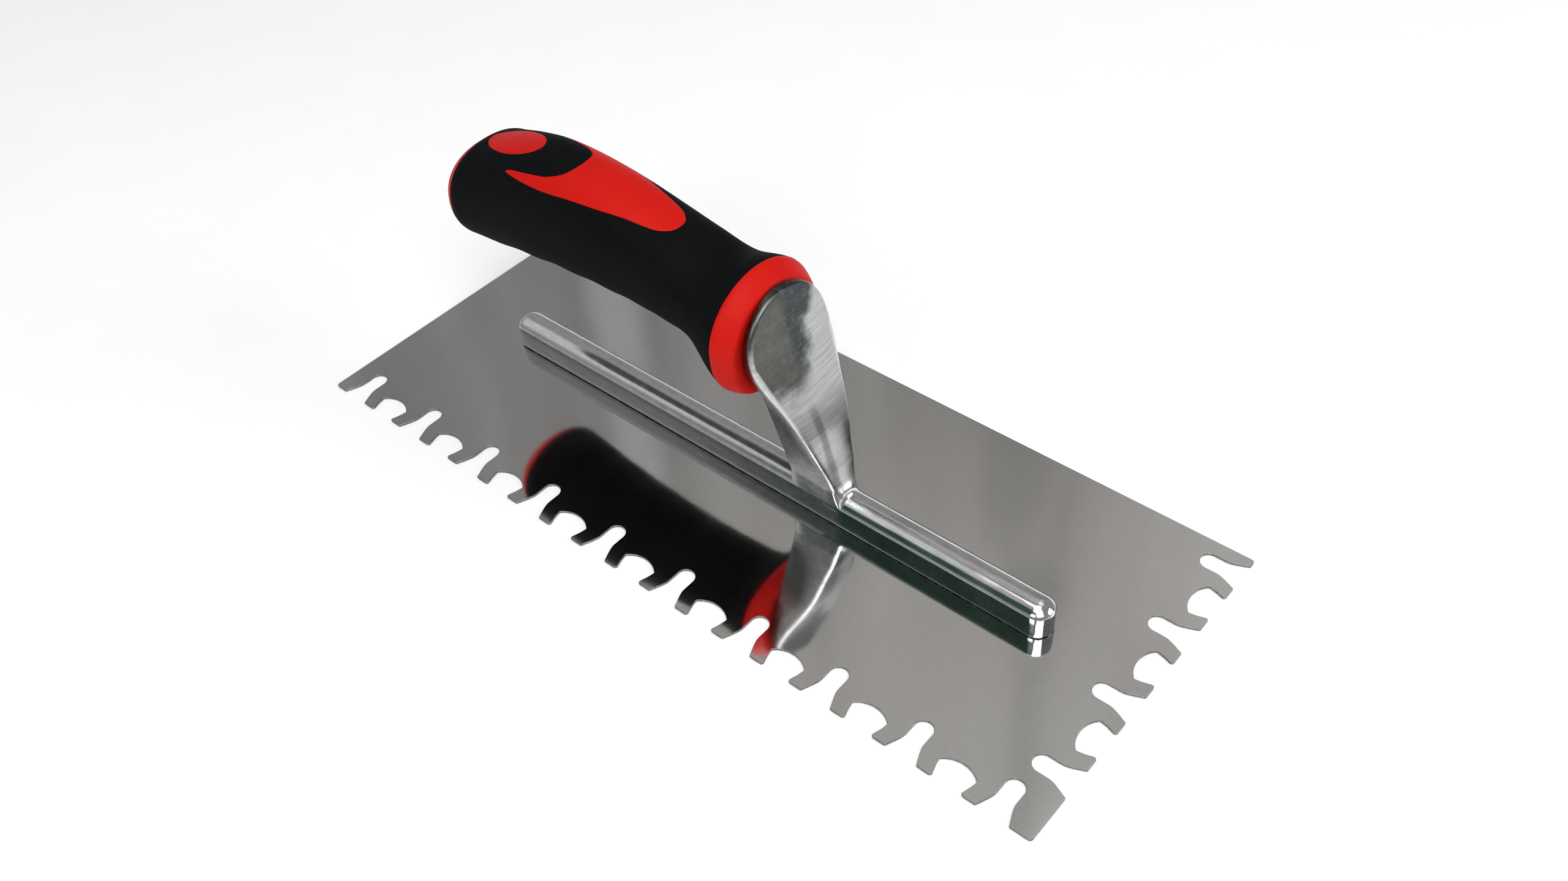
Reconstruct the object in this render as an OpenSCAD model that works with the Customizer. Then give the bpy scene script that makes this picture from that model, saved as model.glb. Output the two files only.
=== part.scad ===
// Notched trowel: sheet blade with a slot-and-arch notch row on one long and one short edge,
// a cast mounting (bar, web, disc and tang) riveted to it, and a two-part hand grip on the tang.
// Millimetres, +Z up, +X towards the notched short edge (toe), origin under the blade's centre.

/* [Blade] */
// Blade length along X
blade_l = 280; // [240:1:320]
// Blade width along Y
blade_w = 115; // [90:1:140]
// Sheet thickness
blade_t = 0.7; // [0.5:0.1:1.5]
// Radius of the four outer corners
corner_r = 1.0; // [0.2:0.1:4]

/* [Notches] */
// Pitch of the slots along the long edge
pitch_long = 28.72; // [24:0.02:32]
// Pitch of the slots along the short edge
pitch_short = 28.85; // [24:0.05:32]
// First slot centre on the long edge, X
first_long = -130.1; // [-136:0.1:-110]
// First slot centre on the short edge, Y
first_short = -36.85; // [-45:0.05:-30]
// Slots on the long edge
slots_long = 10; // [2:1:10]
// Slots on the short edge
slots_short = 4; // [2:1:4]
// Half width of a slot's neck
slot_r = 2.9; // [2:0.1:4]
// Half width of a slot at its mouth
slot_mouth = 4.8; // [3:0.1:6]
// Depth of a slot's round end
slot_d = 13.0; // [8:0.5:16]
// Half width of an arch at its shoulder
arch_r = 5.95; // [4:0.05:7]
// Half width of an arch at its mouth
arch_mouth = 4.7; // [3:0.1:6]
// Depth of an arch
arch_d = 8.05; // [5:0.05:12]

/* [Rivets] */
// Rivets that hold the bar to the blade
rivet_n = 7; // [3:1:9]
// Spacing of the rivets
rivet_pitch = 30; // [20:1:34]
// Rivet shank diameter
rivet_d = 4; // [3:0.5:5]
// Rivet head diameter, flush with the blade's underside
rivet_head_d = 6.4; // [5:0.1:8]
// Rivet length from the underside
rivet_l = 6.7; // [4:0.1:8]

/* [Mounting bar] */
// Rear end of the bar, X
bar_x0 = -105.0; // [-120:0.5:-80]
// Front tip of the bar, X
bar_x1 = 108.7; // [80:0.5:120]
// Bar half width
bar_hw = 5.0; // [4:0.5:9]
// Height of the bar's side, above the underside of the blade
bar_side_z = 8.9; // [5:0.1:12]
// Height of the bar's rounded top
bar_top_z = 11.2; // [8:0.1:16]
// Corner radius of the rear end, seen from above
bar_end_r = 2.5; // [0.5:0.5:4.5]

/* [Shank and disc] */
// Height of the disc's centre
disc_z = 61.7; // [55:0.1:70]
// Disc radius
disc_r = 16.4; // [12:0.1:20]
// Rear plane of the disc, X
disc_back_x = 13.4; // [10:0.1:18]
// Edge radius of the shank's front face
rim_r = 1.3; // [0.4:0.1:2]

/* [Tang and screw] */
// Height of the tang's axis
axis_z = 65.7; // [60:0.1:70]
// Rear end of the tang, X
tang_x = -62; // [-80:1:-40]
// Tang half width
tang_hw = 5; // [3:0.5:7]
// Screw shank diameter
screw_d = 5; // [4:0.5:6]

/* [Grip] */
// Rear end of the grip, X
grip_x0 = -113.9; // [-130:0.1:-100]
// Seam between the grip and the collar, X
grip_x1 = 6.1; // [2:0.1:9]
// Front face of the collar, X
collar_x = 12.9; // [12:0.1:13.3]
// Wall of the soft overmould
soft_t = 3.0; // [1.5:0.1:4]
// Depth of the finger waves under the grip
wave = 0.7; // [0:0.1:2]
// Seam between the butt cap and the grip, X
cap_x = -104.5; // [-106:0.1:-103]
// Flat sides on each ring of the grip
ring_n = 40; // [24:4:56]

/* [Hidden] */
$fn = 48;
gap = 0.1;

steel = [0.62, 0.61, 0.60];
alu = [0.78, 0.79, 0.80];
red = [0.84, 0.07, 0.05];
black = [0.06, 0.065, 0.07];

// ---- blade outline -------------------------------------------------------------------------

slot_neck = 6.0;   // depth at which a slot's flare meets its parallel neck
tip_r = 0.8;       // rounding of a tooth's tip

// One slot as [along, depth] points, from its left mouth to its right mouth.
function slot_half() = [
    [slot_mouth + tip_r * 0.75, 0],
    [slot_mouth + tip_r * 0.30, tip_r * 0.22],
    [slot_mouth, tip_r],
    [slot_r + (slot_mouth - slot_r) * 0.42, slot_neck * 0.56],
    [slot_r + 0.12, slot_neck * 0.90],
    [slot_r, slot_neck * 1.12],
    for (a = [0 : 10 : 80]) [slot_r * cos(a), slot_d - slot_r + slot_r * sin(a)]
];
arch_cr = 8.4;     // radius of an arch's top
arch_a = asin(arch_r / arch_cr);
function arch_half() = [
    [arch_mouth + 0.55, 0],
    [arch_mouth + 0.15, 0.3],
    [arch_mouth, 0.9],
    [arch_mouth + (arch_r - arch_mouth) * 0.55, 3.0],
    [arch_r - 0.12, arch_d - arch_cr + arch_cr * cos(arch_a) - 0.5],
    [arch_r - 0.10, arch_d - arch_cr + arch_cr * cos(arch_a) + 0.15],
    for (k = [1 : 6]) let (a = arch_a * (1 - k / 6) * 0.97)
        [arch_cr * sin(a), arch_d - arch_cr + arch_cr * cos(a)]
];
function mirrored(h) = concat([for (p = h) [-p[0], p[1]]], [for (i = [len(h) - 1 : -1 : 0]) [h[i][0], h[i][1]]]);
function no_twin(h) = [for (i = [0 : len(h) - 1]) if (i == 0 || norm(h[i] - h[i - 1]) > 0.02) h[i]];
slot_c = no_twin(mirrored(slot_half()));
arch_c = no_twin(mirrored(arch_half()));

// Edge line as [along, depth]: slot, arch, slot ... slot.
function edge_line(first, pitch, n) = [
    for (k = [0 : n - 1]) each concat(
        [for (p = slot_c) [first + k * pitch + p[0], p[1]]],
        k < n - 1 ? [for (p = arch_c) [first + (k + 0.5) * pitch + p[0], p[1]]] : [])
];
function corner(cx, cy, a0) = [for (k = [0 : 4]) let (a = a0 + 90 * k / 4) [cx + corner_r * cos(a), cy + corner_r * sin(a)]];
hl = blade_l / 2;
hw = blade_w / 2;
blade_outline = concat(
    corner(-hl + corner_r, -hw + corner_r, 180),
    [for (p = edge_line(first_long, pitch_long, slots_long)) [p[0], -hw + p[1]]],
    corner(hl - corner_r, -hw + corner_r, 270),
    [for (p = edge_line(first_short, pitch_short, slots_short)) [hl - p[1], p[0]]],
    corner(hl - corner_r, hw - corner_r, 0),
    corner(-hl + corner_r, hw - corner_r, 90));

rivet_x = [for (k = [0 : rivet_n - 1]) (k - (rivet_n - 1) / 2) * rivet_pitch];

module blade() color(steel)
    difference() {
        linear_extrude(blade_t) polygon(blade_outline);
        for (x = rivet_x) translate([x, 0, 0])
            cylinder(h = blade_t, r1 = rivet_head_d / 2, r2 = rivet_d / 2 + 0.02);
    }

// Countersunk rivets, all alike, flush under the blade and blind in the bar.
module blade_rivets() color(steel)
    for (x = rivet_x) translate([x, 0, 0]) {
        cylinder(h = blade_t, r1 = rivet_head_d / 2 - 0.02, r2 = rivet_d / 2);
        translate([0, 0, blade_t]) cylinder(h = rivet_l - blade_t, r = rivet_d / 2);
    }

// ---- lofts -----------------------------------------------------------------------------------

// Closed solid through equal-length loops of points.
module loft(rings) {
    n = len(rings[0]);
    m = len(rings);
    polyhedron(
        points = [for (r = rings) each r],
        faces = concat(
            [[for (i = [0 : n - 1]) i]],
            [for (k = [0 : m - 2], i = [0 : n - 1]) each [
                [k * n + i, (k + 1) * n + (i + 1) % n, k * n + (i + 1) % n],
                [k * n + i, (k + 1) * n + i, (k + 1) * n + (i + 1) % n]]],
            [[for (i = [n - 1 : -1 : 0]) (m - 1) * n + i]]),
        convexity = 8);
}
// Smooth value through evenly spaced knots, at u from 0 to 1.
function at_knot(v, i) = v[max(0, min(len(v) - 1, i))];
function smooth(v, u) = let (s = max(0, min(1, u)) * (len(v) - 1), i = min(len(v) - 2, floor(s)), f = s - i,
    p0 = at_knot(v, i - 1), p1 = at_knot(v, i), p2 = at_knot(v, i + 1), p3 = at_knot(v, i + 2))
    p1 + 0.5 * f * (p2 - p0 + f * (2 * p0 - 5 * p1 + 4 * p2 - p3 + f * (3 * (p1 - p2) + p3 - p0)));

// ---- mounting casting ------------------------------------------------------------------------

dome_r = (bar_hw * bar_hw + (bar_top_z - bar_side_z) * (bar_top_z - bar_side_z)) / (2 * (bar_top_z - bar_side_z));

// Bar section: flat sides and a domed top.
module bar_section() {
    translate([-bar_hw, blade_t]) square([2 * bar_hw, bar_side_z - blade_t]);
    intersection() {
        translate([0, bar_top_z - dome_r]) circle(r = dome_r, $fn = 96);
        translate([-bar_hw, bar_side_z - 1]) square([2 * bar_hw, bar_top_z]);
    }
}
module bar() {
    // Straight run up to the start of the round tip
    intersection() {
        translate([bar_x0, 0, 0]) rotate([90, 0, 90]) linear_extrude(bar_x1 - bar_hw - bar_x0) bar_section();
        union() {
            translate([bar_x0, -bar_hw + bar_end_r, 0]) cube([bar_x1 - bar_x0, 2 * (bar_hw - bar_end_r), 20]);
            translate([bar_x0 + bar_end_r, -bar_hw - 1, 0]) cube([bar_x1 - bar_x0, 2 * bar_hw + 2, 20]);
            for (s = [-1, 1]) translate([bar_x0 + bar_end_r, s * (bar_hw - bar_end_r), 0]) cylinder(r = bar_end_r, h = 20);
        }
    }
    // Round tip
    translate([bar_x1 - bar_hw, 0, 0]) rotate_extrude() intersection() {
        bar_section();
        translate([0, 0]) square([bar_hw, 20]);
    }
}

// Shank rows: height, rear X, front X, rear half width, front half width.
shank_rows = [
    [8.0, 18.7, 40.6, 5.0, 5.0],
    [10.4, 18.7, 39.4, 5.0, 5.0],
    [11.6, 18.7, 38.0, 5.0, 5.0],
    [12.9, 18.7, 37.1, 5.0, 5.0],
    [14.7, 18.6, 36.4, 5.0, 5.2],
    [20.7, 17.5, 35.1, 5.6, 6.4],
    [25.7, 16.4, 33.6, 6.2, 7.6],
    [30.7, 15.4, 32.3, 6.8, 8.9],
    [35.7, 14.5, 30.9, 7.5, 10.1],
    [40.7, 13.8, 29.0, 8.4, 11.3],
    [45.7, 13.4, 26.7, 9.8, 12.7],
    [50.7, 13.4, 24.3, 12.2, 14.4],
    [55.7, 13.4, 22.0, 14.4, 15.8],
    [61.7, 13.4, 19.8, 15.4, 16.4]
];
function disc_w(z) = sqrt(max(0, disc_r * disc_r - (z - disc_z) * (z - disc_z)));
disc_rows = [for (k = [1 : 8]) let (a = 90 * k / 8.35, z = disc_z + disc_r * sin(a), w = disc_w(z), u = sin(a))
    [z, disc_back_x, 19.8 - 4.3 * u + 0.9 * u * u, max(0.8, w * 0.94), w]];
function shank_ring(r) =
    let (z = r[0], xr = r[1], xf = r[2], wr = r[3], wf = r[4],
         rc = min(rim_r, wf * 0.35, (xf - xr) * 0.45), rr = min(1.0, wr * 0.3, (xf - xr) * 0.25), bulge = 0.07 * wf)
    concat(
        [for (a = [-90, -60, -30]) [xf - bulge - rc + rc * cos(a), -(wf - rc) + rc * sin(a), z]],
        [for (s = [-1, -0.8, -0.5, -0.2, 0.2, 0.5, 0.8, 1]) [xf - bulge * s * s, s * (wf - rc), z]],
        [for (a = [30, 60, 90]) [xf - bulge - rc + rc * cos(a), (wf - rc) + rc * sin(a), z]],
        [for (a = [90, 135, 180]) [xr + rr + rr * cos(a), wr - rr + rr * sin(a), z]],
        [for (a = [180, 225, 270]) [xr + rr + rr * cos(a), -(wr - rr) + rr * sin(a), z]]);

module tang_solid(g) rotate([90, 0, 0]) translate([0, 0, -tang_hw - g]) linear_extrude(2 * (tang_hw + g))
    polygon([[tang_x - g, axis_z - 5 - g], [16, axis_z - 7.4 - g], [16, axis_z + 7.4 + g], [tang_x - g, axis_z + 5 + g]]);

module mount_casting() color(alu)
    difference() {
        union() {
            bar();
            loft([for (r = concat(shank_rows, disc_rows)) shank_ring(r)]);
            tang_solid(0);
        }
        for (x = rivet_x) translate([x, 0, 0]) cylinder(h = rivet_l, r = rivet_d / 2 + 0.02);
        translate([tang_x - 1, 0, axis_z]) rotate([0, 90, 0]) cylinder(h = 19, r = screw_d / 2 + 0.02);
    }

// ---- hand grip -------------------------------------------------------------------------------

// Knots from the butt to the collar seam: crown height, keel height and half width.
grip_top = [80.4, 82.6, 86.4, 89.1, 89.9, 89.4, 87.9, 85.5, 82.4, 78.5, 81.4];
grip_low = [50.2, 49.1, 49.3, 50.1, 50.9, 51.5, 52.1, 52.7, 53.5, 54.4, 44.6];
grip_b = [19.3, 18.5, 17.6, 17.0, 16.3, 15.8, 15.4, 15.4, 15.8, 17.2, 20.6];
grip_a = [for (i = [0 : len(grip_top) - 1]) (grip_top[i] - grip_low[i]) / 2];
grip_z = [for (i = [0 : len(grip_top) - 1]) (grip_top[i] + grip_low[i]) / 2];
butt_l = 12.1;     // length of the rounded butt
function gu(x) = (x - grip_x0) / (grip_x1 - grip_x0);
function butt(x) = let (w = max(0, min(1, (x - grip_x0) / butt_l))) sqrt(max(0, 1 - (1 - w) * (1 - w)));
// Section roundness: the crown is squarish along the hand and round at the collar, the keel the other way round.
function pw(v, e) = sign(v) * pow(abs(v), e);
function crown_e(u) = 0.87 + 0.13 * max(0, min(1, (u - 0.6) / 0.4));
function keel_e(u) = 0.96 - 0.18 * max(0, min(1, (u - 0.75) / 0.25));
// Finger waves, on the lower half only, fading out at both ends.
function waves(x) = let (u = gu(x)) wave * (x > -104 && x < -24 ? (1 - cos(360 * (x + 107) / 16)) / 2 : 0);
// One ring of the grip at x: inset off, height factor k, width factor kb.
function grip_ring(x, off = 0, k = 1, kb = 1, dz = 0) =
    let (u = gu(x), f = butt(x), a = (smooth(grip_a, u) * f - off) * k, b = (smooth(grip_b, u) * f - off) * kb, z = smooth(grip_z, u) + dz)
    [for (i = [0 : ring_n - 1]) let (t = 360 * i / ring_n, s = sin(t), e = s < 0 ? keel_e(u) : crown_e(u))
        [x, b * pw(cos(t), e), z + a * pw(s, e) + (s < 0 && off == 0 ? waves(x) * s * s : 0)]];

butt_x = [for (k = [0 : 7]) grip_x0 + butt_l * (1 - cos(10 + 80 * k / 7))];
// Stations after the rounded butt
run_n = 30;
run_x = [for (k = [1 : run_n]) grip_x0 + butt_l + (grip_x1 - grip_x0 - butt_l) * k / run_n];
seam_butt_x = [for (x = butt_x) if (x > cap_x + 0.3) x];

// Outer body of the grip, from the butt cap's seam to the collar's seam.
module grip_outer() loft([for (x = concat([cap_x], seam_butt_x, run_x)) grip_ring(x)]);
// Hard core inside the soft overmould
module core_outer(g = 0) loft([for (x = concat([cap_x - g], [for (k = [1 : 18]) cap_x + (grip_x1 - cap_x) * k / 18 + (k == 18 ? g : 0)])) grip_ring(x, soft_t)]);

// Points on a smooth line through uneven 2D knots, m per span.
function spline(v, m) = [
    for (i = [0 : len(v) - 2], k = [0 : m - 1]) let (f = k / m, p0 = at_knot(v, i - 1), p1 = v[i], p2 = v[i + 1], p3 = at_knot(v, i + 2))
        p1 + 0.5 * f * (p2 - p0 + f * (2 * p0 - 5 * p1 + 4 * p2 - p3 + f * (3 * (p1 - p2) + p3 - p0))),
    v[len(v) - 1]
];
// Leaf: a long rounded tongue whose rear is cut by a rounded bay. Knots are [back from the leaf's front, half width].
leaf_x0 = -21.0;
leaf_knots = [[0, 0], [0.2, 1.6], [1.2, 3.5], [4, 5.6], [8.3, 6.9], [14.4, 8.1], [22.9, 9.9], [32.4, 11.2], [42, 12.3], [49, 12.6], [55, 12.5], [59.5, 12.0], [61, 11.5]];
bay_knots = [[61, 11.5], [59, 11.0], [53.6, 10.6], [48.2, 9.9], [45.2, 9.3], [42.7, 8.3], [40.5, 7.0], [39.3, 5.6], [38.6, 4.0], [38.2, 2.0], [38.1, 0]];
bay_shift = 0.6;   // sideways offset of the bay
leaf_side = spline(leaf_knots, 2);
bay_side = spline(bay_knots, 2);
module leaf_shape(g = 0) {
    translate([leaf_x0, 0, axis_z + 6]) linear_extrude(30) offset(delta = g) difference() {
        polygon(concat([for (p = leaf_side) [-p[0], -p[1]]], [for (i = [len(leaf_side) - 1 : -1 : 1]) [-leaf_side[i][0], leaf_side[i][1]]]));
        polygon(concat([[-80, -12.6], [-61.4, -11.6]], [for (p = bay_side) if (p[0] < 61) [-p[0], min(-p[1], -bay_shift)]],
            [for (i = [len(bay_side) - 2 : -1 : 0]) if (bay_side[i][0] < 61)
                [-bay_side[i][0], max(bay_side[i][1] - 2 * bay_shift * min(1, (61 - bay_side[i][0]) / 6), -bay_shift)]], [[-61.4, 11.6], [-80, 12.6]]));
    }
}
dot_x = -88.9;     // centre of the dot
module dot_shape(g = 0)
    translate([dot_x, 0, axis_z + 5]) rotate(-7) linear_extrude(30)
        polygon([for (i = [0 : 31]) [(13.2 + g) * cos(360 * i / 32), (6.8 + g) * sin(360 * i / 32)]]);

module grip_overmould() color(black)
    difference() {
        grip_outer();
        core_outer(0.5);
        leaf_shape(gap / 2);
        dot_shape(gap / 2);
    }
module inlay_leaf() color(red)
    difference() {
        intersection() { grip_outer(); leaf_shape(); }
        core_outer(0.5);
    }
module inlay_dot() color(red)
    difference() {
        intersection() { grip_outer(); dot_shape(); }
        core_outer(0.5);
    }
module handle_core() color(red)
    difference() {
        core_outer();
        tang_solid(gap);
        // Way in for the screw: head and washer, then shank
        translate([head_x - 18.3, 0, axis_z]) rotate([0, 90, 0]) cylinder(h = 19.3, r = 5.2);
        translate([head_x + 0.7, 0, axis_z]) rotate([0, 90, 0]) cylinder(h = 40, r = screw_d / 2 + 0.3);
    }
// Collar rings: distance from the seam, height factor, width factor.
collar_rows = [[0, 1.0, 1.0], [0.6, 1.015, 1.008], [1.4, 1.022, 1.006], [2.3, 1.02, 0.996], [3.3, 1.006, 0.976], [4.5, 0.982, 0.947],
               [5.6, 0.955, 0.916], [6.3, 0.93, 0.89], [6.7, 0.90, 0.86], [6.8, 0.86, 0.82]];
module front_collar() color(red)
    difference() {
        loft([for (r = collar_rows) grip_ring(grip_x1 + r[0] * (collar_x - grip_x1) / 6.8, 0, r[1], r[2], -0.28 * r[0])]);
        tang_solid(gap);
    }
module butt_cap() color(red) {
    loft([for (x = [for (k = [0 : 8]) grip_x0 + (cap_x - gap / 2 - grip_x0) * (0.015 + 0.985 * pow(k / 8, 1.9))]) grip_ring(x)]);
    translate([cap_x - 1, 0, axis_z]) rotate([0, 90, 0]) cylinder(h = 7, r = 5.1);
}
head_x = -94.1;    // face of the screw head
module tang_screw() color(steel)
    translate([head_x, 0, axis_z]) rotate([0, 90, 0]) difference() {
        union() {
            translate([0, 0, -5]) cylinder(h = 5, r = 4.25);
            cylinder(h = tang_x + 14 - head_x, r = screw_d / 2);
        }
        translate([0, 0, -5.01]) cylinder(h = 2.6, r = 2.3, $fn = 6);
    }
module tang_washer() color(steel)
    translate([head_x, 0, axis_z]) rotate([0, 90, 0]) difference() {
        cylinder(h = 1.0, r = 4.9);
        translate([0, 0, -1]) cylinder(h = 3, r = screw_d / 2 + 0.15);
    }

blade();
blade_rivets();
mount_casting();
handle_core();
grip_overmould();
front_collar();
inlay_leaf();
inlay_dot();
butt_cap();
tang_screw();
tang_washer();
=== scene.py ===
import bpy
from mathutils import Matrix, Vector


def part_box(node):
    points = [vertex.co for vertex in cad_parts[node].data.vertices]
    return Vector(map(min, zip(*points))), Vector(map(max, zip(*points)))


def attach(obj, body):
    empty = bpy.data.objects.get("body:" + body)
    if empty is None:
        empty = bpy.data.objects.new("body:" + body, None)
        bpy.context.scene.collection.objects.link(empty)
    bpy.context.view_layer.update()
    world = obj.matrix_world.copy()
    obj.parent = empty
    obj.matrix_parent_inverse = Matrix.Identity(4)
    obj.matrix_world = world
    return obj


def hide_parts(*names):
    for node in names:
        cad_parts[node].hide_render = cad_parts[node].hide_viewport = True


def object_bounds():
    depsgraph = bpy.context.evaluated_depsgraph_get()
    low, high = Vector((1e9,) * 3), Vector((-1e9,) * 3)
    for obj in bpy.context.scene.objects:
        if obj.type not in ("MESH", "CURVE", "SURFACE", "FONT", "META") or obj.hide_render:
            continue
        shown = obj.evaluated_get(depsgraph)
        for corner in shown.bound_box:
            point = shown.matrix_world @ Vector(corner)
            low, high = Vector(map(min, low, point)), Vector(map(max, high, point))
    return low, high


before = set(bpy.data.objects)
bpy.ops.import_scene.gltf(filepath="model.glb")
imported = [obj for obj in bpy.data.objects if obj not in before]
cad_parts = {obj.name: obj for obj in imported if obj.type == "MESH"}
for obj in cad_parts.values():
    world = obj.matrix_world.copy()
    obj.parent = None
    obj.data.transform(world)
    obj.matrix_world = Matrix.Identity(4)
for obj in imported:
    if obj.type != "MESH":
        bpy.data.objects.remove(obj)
cad_lo, cad_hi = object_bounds()
cad_lo, cad_hi = list(cad_lo), list(cad_hi)

import bpy, bmesh, math
import numpy as np
from mathutils import Matrix, Vector
from mathutils.geometry import tessellate_polygon

MM = 0.001
sc = bpy.context.scene
sc.view_settings.view_transform = "Standard"
sc.view_settings.look = "None"


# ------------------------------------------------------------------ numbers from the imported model
def nbox(n):
    lo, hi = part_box(n)
    return np.array(lo) / MM, np.array(hi) / MM


b_lo, b_hi = nbox("blade")
c_lo, c_hi = nbox("mount_casting")
g_lo, g_hi = nbox("grip_overmould")
k_lo, k_hi = nbox("front_collar")
e_lo, e_hi = nbox("butt_cap")
BT = float(b_hi[2])                       # sheet thickness
HL, HW = float(b_hi[0]), float(b_hi[1])
BAR_X0, BAR_X1 = float(c_lo[0]), float(c_hi[0])
GRIP_X0 = float(e_lo[0]) - 0.1           # the dome closes just behind its first ring
GRIP_X1, COLLAR_X = float(k_lo[0]), float(k_hi[0])
CAP_X = float(g_lo[0])
BAR_HW, SIDE_Z, TOP_Z = 5.0, 8.9, 11.2
AXIS_Z = 65.7


# ------------------------------------------------------------------ mesh helpers
def new_obj(name, verts, faces, mats, body="root", smooth=True, sharp=None):
    me = bpy.data.meshes.new(name)
    me.from_pydata([tuple(float(c) * MM for c in v) for v in verts], [], [tuple(int(i) for i in f) for f in faces])
    me.validate()
    me.update()
    for m in mats:
        me.materials.append(m)
    if smooth:
        me.polygons.foreach_set("use_smooth", [True] * len(me.polygons))
        if sharp is not None:
            me.set_sharp_from_angle(angle=math.radians(sharp))
    o = bpy.data.objects.new(name, me)
    sc.collection.objects.link(o)
    if body:
        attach(o, body)
    return o


def loft(rings, cap0=True, cap1=True):
    """Vertices and faces of a closed tube through equal rings."""
    n = len(rings[0])
    v = np.concatenate(rings)
    f = []
    for k in range(len(rings) - 1):
        a, b = k * n, (k + 1) * n
        for i in range(n):
            j = (i + 1) % n
            f.append((a + i, a + j, b + j, b + i))
    if cap0:
        f.append(tuple(range(n - 1, -1, -1)))
    if cap1:
        f.append(tuple((len(rings) - 1) * n + i for i in range(n)))
    return v, f


def fix_normals(o):
    bm = bmesh.new()
    bm.from_mesh(o.data)
    bmesh.ops.remove_doubles(bm, verts=bm.verts, dist=1e-7)
    bmesh.ops.recalc_face_normals(bm, faces=bm.faces)
    bm.to_mesh(o.data)
    bm.free()


def apply_mods(o):
    dg = bpy.context.evaluated_depsgraph_get()
    me = bpy.data.meshes.new_from_object(o.evaluated_get(dg), depsgraph=dg)
    old = o.data
    o.modifiers.clear()
    o.data = me
    me.name = o.name
    bpy.data.meshes.remove(old)


def boolean(o, cutter, op):
    m = o.modifiers.new("cut", "BOOLEAN")
    m.operation, m.solver, m.object = op, "EXACT", cutter
    apply_mods(o)


def bevel(o, width, segs=2, angle=32):
    m = o.modifiers.new("edge", "BEVEL")
    m.width, m.segments, m.limit_method, m.angle_limit = width * MM, segs, "ANGLE", math.radians(angle)
    m.use_clamp_overlap = True
    apply_mods(o)


def smooth_all(o, sharp):
    o.data.polygons.foreach_set("use_smooth", [True] * len(o.data.polygons))
    o.data.set_sharp_from_angle(angle=math.radians(sharp))


# ------------------------------------------------------------------ node-tree helpers
class Mat:
    def __init__(self, name):
        self.m = bpy.data.materials.new(name)
        self.m.use_nodes = True
        self.t = self.m.node_tree
        self.t.nodes.clear()
        self.out = self.add("ShaderNodeOutputMaterial")
        self.bsdf = self.add("ShaderNodeBsdfPrincipled")
        self.t.links.new(self.bsdf.outputs[0], self.out.inputs[0])
        self.co = self.add("ShaderNodeTexCoord").outputs["Object"]

    def add(self, kind, **kw):
        n = self.t.nodes.new(kind)
        for k, v in kw.items():
            setattr(n, k, v)
        return n

    def link(self, a, b):
        self.t.links.new(a, b)

    def put(self, socket, v):
        if hasattr(v, "links"):
            self.link(v, socket)
        else:
            socket.default_value = v

    def scale(self, s, rot=(0, 0, 0), loc=(0, 0, 0)):
        n = self.add("ShaderNodeMapping")
        n.inputs["Scale"].default_value = s if hasattr(s, "__len__") else (s, s, s)
        n.inputs["Rotation"].default_value = rot
        n.inputs["Location"].default_value = loc
        self.link(self.co, n.inputs["Vector"])
        return n.outputs[0]

    def noise(self, scale, detail=4.0, rough=0.55, vec=None, distort=0.0):
        n = self.add("ShaderNodeTexNoise")
        n.inputs["Scale"].default_value = scale
        n.inputs["Detail"].default_value = detail
        n.inputs["Roughness"].default_value = rough
        n.inputs["Distortion"].default_value = distort
        self.link(vec if vec is not None else self.co, n.inputs["Vector"])
        return n.outputs["Fac"]

    def voronoi(self, scale, feature="F1", vec=None, rand=1.0):
        n = self.add("ShaderNodeTexVoronoi", feature=feature)
        n.inputs["Scale"].default_value = scale
        n.inputs["Randomness"].default_value = rand
        self.link(vec if vec is not None else self.co, n.inputs["Vector"])
        return n.outputs["Distance"]

    def rng(self, v, a, b, c, d, smooth=False):
        n = self.add("ShaderNodeMapRange")
        n.clamp = True
        if smooth:
            n.interpolation_type = "SMOOTHSTEP"
        self.put(n.inputs["Value"], v)
        for i, x in zip(("From Min", "From Max", "To Min", "To Max"), (a, b, c, d)):
            self.put(n.inputs[i], x)
        return n.outputs[0]

    def math(self, op, a, b=0.0, c=0.0):
        n = self.add("ShaderNodeMath", operation=op)
        self.put(n.inputs[0], a)
        self.put(n.inputs[1], b)
        self.put(n.inputs[2], c)
        return n.outputs[0]

    def mix(self, f, a, b):
        n = self.add("ShaderNodeMix", data_type="RGBA")
        self.put(n.inputs[0], f)
        self.put(n.inputs[6], a if hasattr(a, "links") else (*a, 1.0))
        self.put(n.inputs[7], b if hasattr(b, "links") else (*b, 1.0))
        return n.outputs[2]

    def xyz(self):
        n = self.add("ShaderNodeSeparateXYZ")
        self.link(self.co, n.inputs[0])
        return n.outputs

    def bump(self, h, strength, dist, prev=None):
        n = self.add("ShaderNodeBump")
        n.inputs["Strength"].default_value = strength
        n.inputs["Distance"].default_value = dist
        self.link(h, n.inputs["Height"])
        if prev is not None:
            self.link(prev, n.inputs["Normal"])
        return n.outputs[0]

    def set(self, **kw):
        names = {"color": "Base Color", "metal": "Metallic", "rough": "Roughness", "normal": "Normal",
                 "spec": "Specular IOR Level", "aniso": "Anisotropic", "coat": "Coat Weight", "coat_rough": "Coat Roughness",
                 "sheen": "Sheen Weight", "sheen_rough": "Sheen Roughness", "ior": "IOR"}
        for k, v in kw.items():
            s = self.bsdf.inputs[names[k]]
            if k == "color" and not hasattr(v, "links"):
                v = (*v, 1.0)
            self.put(s, v)
        return self.m


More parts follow.
